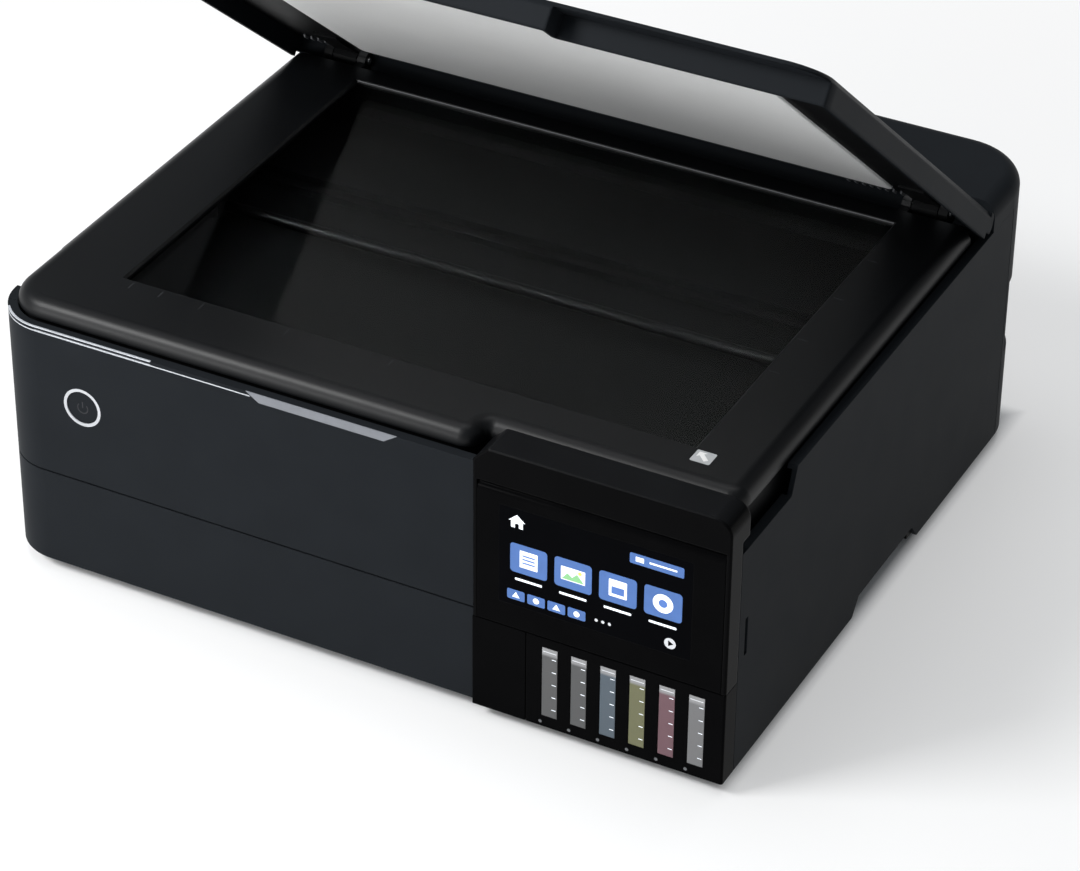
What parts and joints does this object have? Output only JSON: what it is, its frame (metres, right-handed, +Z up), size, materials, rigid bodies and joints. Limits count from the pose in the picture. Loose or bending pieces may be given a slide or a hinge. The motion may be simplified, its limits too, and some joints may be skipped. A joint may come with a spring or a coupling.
{
  "type": "inkjet printer",
  "caption": "Ink-tank inkjet printer with a flatbed scanner under a raised lid, a tilting touch-screen panel, windowed ink tanks, a fold-down front cover and a rear paper feed.",
  "frame": {"origin": "centre of the footprint, on the table", "axes": "+X to the right along the front, +Y from the front to the rear, +Z up"},
  "size_m": [0.403, 0.369, 0.3453],
  "materials": {
    "body_black": "fine grained satin",
    "gloss_black": "polished",
    "inner_grey": "moulded",
    "screen": "polished display glass",
    "bed_glass": "clear float glass",
    "pad_white": "smooth sheet on foam",
    "light_white": "diffusing",
    "tank_clear": "smoky translucent",
    "soft_black": "matt",
    "steel": "plated sheet",
    "gear_white": "moulded acetal",
    "board_green": "solder resist",
    "supply_case": "moulded",
    "strip_clear": "thin film"
  },
  "bodies": {
    "printer_body": {"base_tray": "inner_grey", "rubber_feet": "soft_black", "left_side_cover": "body_black", "right_side_cover": "body_black", "rear_cover": "body_black", "rear_top_cover": "body_black", "front_fascia": "body_black", "status_lights": "light_white", "power_light_ring": "light_white", "tank_cover": "gloss_black", "tank_trim": "gloss_black", "ink_tanks": "tank_clear", "panel_frame": "gloss_black", "front_frame": "inner_grey", "hinge_brackets": "steel", "hinge_pins": "steel", "main_chassis": "steel", "guide_shaft": "steel", "carriage_belt": "soft_black", "carriage_motor": "steel", "encoder_strip": "strip_clear", "platen": "inner_grey", "cap_station": "inner_grey", "waste_ink_box": "gear_white", "feed_motor": "steel", "paper_cassette": "body_black", "rear_feed_tray": "body_black", "main_board": "board_green", "interface_ports": "steel", "power_supply": "supply_case", "ac_inlet": "inner_grey"},
    "power_key": {"power_button": "body_black"},
    "front_flap": {"front_cover": "body_black"},
    "control_panel": {"panel_bezel": "gloss_black", "touch_screen": "screen"},
    "filler_flap": {"filler_cover": "inner_grey"},
    "scanner_unit": {"scanner_frame": "body_black", "scanner_pan": "inner_grey", "scanner_glass": "bed_glass", "scan_rail": "steel"},
    "scan_head": {"scan_carriage": "inner_grey"},
    "lid": {"document_lid": "body_black", "lid_inner_panel": "inner_grey", "document_pad": "pad_white", "lid_hinge_arms": "inner_grey"},
    "print_unit": {"print_carriage": "inner_grey", "print_head": "supply_case"},
    "feed_roller": {"feed_shaft": "steel", "feed_tyres": "soft_black", "feed_gear": "gear_white"},
    "exit_roller": {"exit_shaft": "steel", "exit_tyres": "soft_black", "exit_gear": "gear_white"},
    "idler": {"idler_gear": "gear_white"},
    "pinion": {"motor_pinion": "gear_white"},
    "paper_shelf": {"output_tray": "body_black"},
    "feed_flap": {"rear_feed_cover": "body_black"},
    "left_guide": {"left_edge_guide": "body_black"},
    "right_guide": {"right_edge_guide": "body_black"},
    "path_cover": {"rear_paper_cover": "body_black"}
  },
  "joints": [
    {"name": "scanner_lift", "type": "hinge", "parent": "printer_body", "child": "scanner_unit", "pos_m": [0, 0.1145, 0.1536], "axis": [-1, 0, 0], "range_deg": [0, 28]},
    {"name": "lid_hinge", "type": "hinge", "parent": "scanner_unit", "child": "lid", "pos_m": [0, 0.1145, 0.1536], "axis": [-1, 0, 0], "range_deg": [-40, 35]},
    {"name": "scan_carriage_slide", "type": "slide", "parent": "scanner_unit", "child": "scan_head", "axis": [1, 0, 0], "range_m": [0, 0.33]},
    {"name": "panel_tilt", "type": "hinge", "parent": "printer_body", "child": "control_panel", "pos_m": [0.135, -0.1795, 0.1325], "axis": [-1, 0, 0], "range_deg": [0, 45]},
    {"name": "front_cover_hinge", "type": "hinge", "parent": "printer_body", "child": "front_flap", "pos_m": [-0.06, -0.171, 0.014], "axis": [1, 0, 0], "range_deg": [0, 88]},
    {"name": "output_tray_slide", "type": "slide", "parent": "printer_body", "child": "paper_shelf", "axis": [0, -1, 0], "range_m": [0, 0.14]},
    {"name": "power_button_press", "type": "slide", "parent": "printer_body", "child": "power_key", "axis": [0, 1, 0], "range_m": [0, 0.0012], "stiffness_N_per_m": 400},
    {"name": "print_carriage_slide", "type": "slide", "parent": "printer_body", "child": "print_unit", "axis": [-1, 0, 0], "range_m": [0, 0.25]},
    {"name": "feed_spin", "type": "hinge", "parent": "printer_body", "child": "feed_roller", "pos_m": [0, 0.03, 0.068], "axis": [1, 0, 0], "continuous": true},
    {"name": "idler_spin", "type": "hinge", "parent": "printer_body", "child": "idler", "pos_m": [-0.179, -0.0075, 0.068], "axis": [1, 0, 0], "continuous": true},
    {"name": "exit_spin", "type": "hinge", "parent": "printer_body", "child": "exit_roller", "pos_m": [0, -0.045, 0.068], "axis": [1, 0, 0], "continuous": true},
    {"name": "pinion_spin", "type": "hinge", "parent": "printer_body", "child": "pinion", "pos_m": [-0.179, 0.05625, 0.068], "axis": [1, 0, 0], "continuous": true},
    {"name": "filler_cover_hinge", "type": "hinge", "parent": "printer_body", "child": "filler_flap", "pos_m": [0.148, -0.1105, 0.0632], "axis": [-1, 0, 0], "range_deg": [0, 100]},
    {"name": "rear_feed_cover_hinge", "type": "hinge", "parent": "printer_body", "child": "feed_flap", "pos_m": [-0.06, 0.17, 0.156], "axis": [-1, 0, 0], "range_deg": [0, 90]},
    {"name": "right_guide_slide", "type": "slide", "parent": "printer_body", "child": "right_guide", "axis": [-1, 0, 0], "range_m": [0, 0.06]},
    {"name": "left_guide_slide", "type": "slide", "parent": "printer_body", "child": "left_guide", "axis": [1, 0, 0], "range_m": [0, 0.06]},
    {"name": "path_cover_pull", "type": "slide", "parent": "printer_body", "child": "path_cover", "axis": [0, 1, 0], "range_m": [0, 0.06]}
  ],
  "couplings": [
    {"joint": "output_tray_slide", "follows": "front_cover_hinge", "m_per_rad": 0.09},
    {"joint": "idler_spin", "follows": "feed_spin", "ratio": -1.0833},
    {"joint": "exit_spin", "follows": "feed_spin", "ratio": 1},
    {"joint": "pinion_spin", "follows": "feed_spin", "ratio": -2.8889},
    {"joint": "left_guide_slide", "follows": "right_guide_slide", "ratio": 1}
  ]
}
